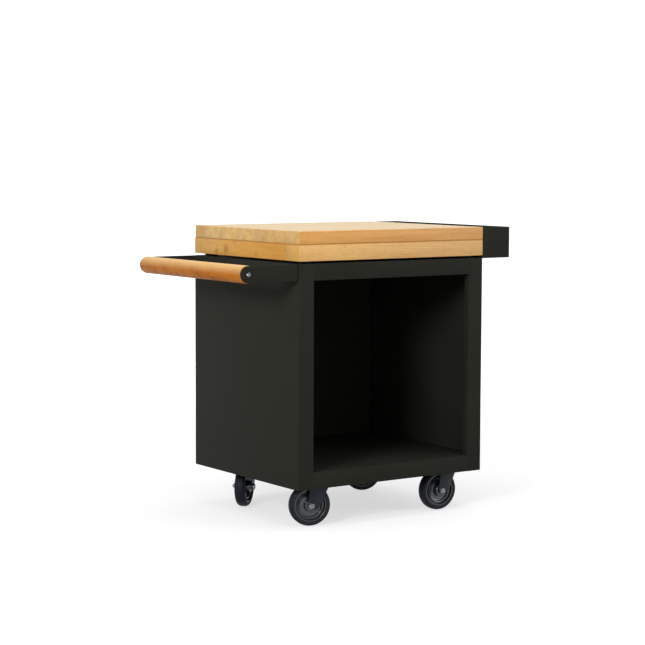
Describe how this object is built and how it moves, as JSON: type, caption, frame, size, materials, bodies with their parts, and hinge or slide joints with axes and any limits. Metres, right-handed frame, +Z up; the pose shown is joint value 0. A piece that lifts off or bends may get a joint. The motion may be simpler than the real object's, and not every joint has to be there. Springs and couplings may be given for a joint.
{
  "type": "wheeled outdoor work table",
  "caption": "Wheeled outdoor work table: a black steel cabinet open at the front, a thick wooden block on top, a push handle on the left, a herb trough on the right and swivel casters.",
  "frame": {"origin": "on the floor, under the middle of the overall length and depth", "axes": "+X to the right along the front, from the handle to the trough; the open front faces -Y; +Z up"},
  "size_m": [0.9929, 0.5968, 0.88],
  "materials": {
    "cabinet_steel": "satin powder coat, near black",
    "apron_wood": "oiled, satin",
    "stave_wood": "oiled, satin",
    "grip_wood": "clear varnish",
    "pad_rubber": "matt",
    "zinc": "bright zinc plate",
    "caster_steel": "satin black coat on pressed steel",
    "wheel_nylon": "moulded, glossy",
    "tyre_rubber": "matt"
  },
  "bodies": {
    "root": {"left_side_panel": "cabinet_steel", "right_side_panel": "cabinet_steel", "back_panel": "cabinet_steel", "top_panel": "cabinet_steel", "floor_pan": "cabinet_steel", "front_caster_bearer": "cabinet_steel", "rear_caster_bearer": "cabinet_steel", "front_apron": "apron_wood", "back_apron": "apron_wood", "left_apron": "apron_wood", "right_apron": "apron_wood", "stave_1": "stave_wood", "stave_2": "stave_wood", "stave_3": "stave_wood", "stave_4": "stave_wood", "stave_5": "stave_wood", "block_pads": "pad_rubber", "block_screws": "zinc", "handle_bracket": "cabinet_steel", "handle_grip": "grip_wood", "grip_inserts": "zinc", "grip_bolts": "zinc", "bracket_screws": "zinc", "bracket_nuts": "zinc", "trough": "cabinet_steel", "trough_screws": "zinc", "caster_plate_fl": "caster_steel", "caster_plate_fr": "caster_steel", "caster_plate_bl": "caster_steel", "caster_plate_br": "caster_steel", "caster_bolts": "zinc", "caster_nuts": "zinc", "kingpins": "zinc", "swivel_balls": "zinc"},
    "caster_fl": {"fork_fl": "caster_steel", "axle_bolt_fl": "zinc", "axle_nut_fl": "zinc"},
    "roller_fl": {"wheel_fl": "wheel_nylon", "tyre_fl": "tyre_rubber", "hub_bearings_fl": "zinc"},
    "caster_fr": {"fork_fr": "caster_steel", "axle_bolt_fr": "zinc", "axle_nut_fr": "zinc"},
    "roller_fr": {"wheel_fr": "wheel_nylon", "tyre_fr": "tyre_rubber", "hub_bearings_fr": "zinc"},
    "caster_bl": {"fork_bl": "caster_steel", "axle_bolt_bl": "zinc", "axle_nut_bl": "zinc"},
    "roller_bl": {"wheel_bl": "wheel_nylon", "tyre_bl": "tyre_rubber", "hub_bearings_bl": "zinc"},
    "caster_br": {"fork_br": "caster_steel", "axle_bolt_br": "zinc", "axle_nut_br": "zinc"},
    "roller_br": {"wheel_br": "wheel_nylon", "tyre_br": "tyre_rubber", "hub_bearings_br": "zinc"}
  },
  "joints": [
    {"name": "caster_fl_swivel", "type": "hinge", "parent": "root", "child": "caster_fl", "pos_m": [-0.1935, -0.23948, 0.143], "axis": [0, 0, 1], "continuous": true},
    {"name": "wheel_fl_roll", "type": "hinge", "parent": "caster_fl", "child": "roller_fl", "pos_m": [-0.21605, -0.23127, 0.0625], "axis": [0.342, 0.9397, 0], "continuous": true},
    {"name": "caster_fr_swivel", "type": "hinge", "parent": "root", "child": "caster_fr", "pos_m": [0.2855, -0.23948, 0.143], "axis": [0, 0, 1], "continuous": true},
    {"name": "wheel_fr_roll", "type": "hinge", "parent": "caster_fr", "child": "roller_fr", "pos_m": [0.26156, -0.2378, 0.0625], "axis": [0.0698, 0.9976, 0], "continuous": true},
    {"name": "caster_bl_swivel", "type": "hinge", "parent": "root", "child": "caster_bl", "pos_m": [-0.1935, 0.155, 0.143], "axis": [0, 0, 1], "continuous": true},
    {"name": "wheel_bl_roll", "type": "hinge", "parent": "caster_bl", "child": "roller_bl", "pos_m": [-0.21133, 0.13894, 0.0625], "axis": [-0.6691, 0.7431, 0], "continuous": true},
    {"name": "caster_br_swivel", "type": "hinge", "parent": "root", "child": "caster_br", "pos_m": [0.2855, 0.155, 0.143], "axis": [0, 0, 1], "continuous": true},
    {"name": "wheel_br_roll", "type": "hinge", "parent": "caster_br", "child": "roller_br", "pos_m": [0.26358, 0.16476, 0.0625], "axis": [0.4067, 0.9135, 0], "continuous": true}
  ]
}
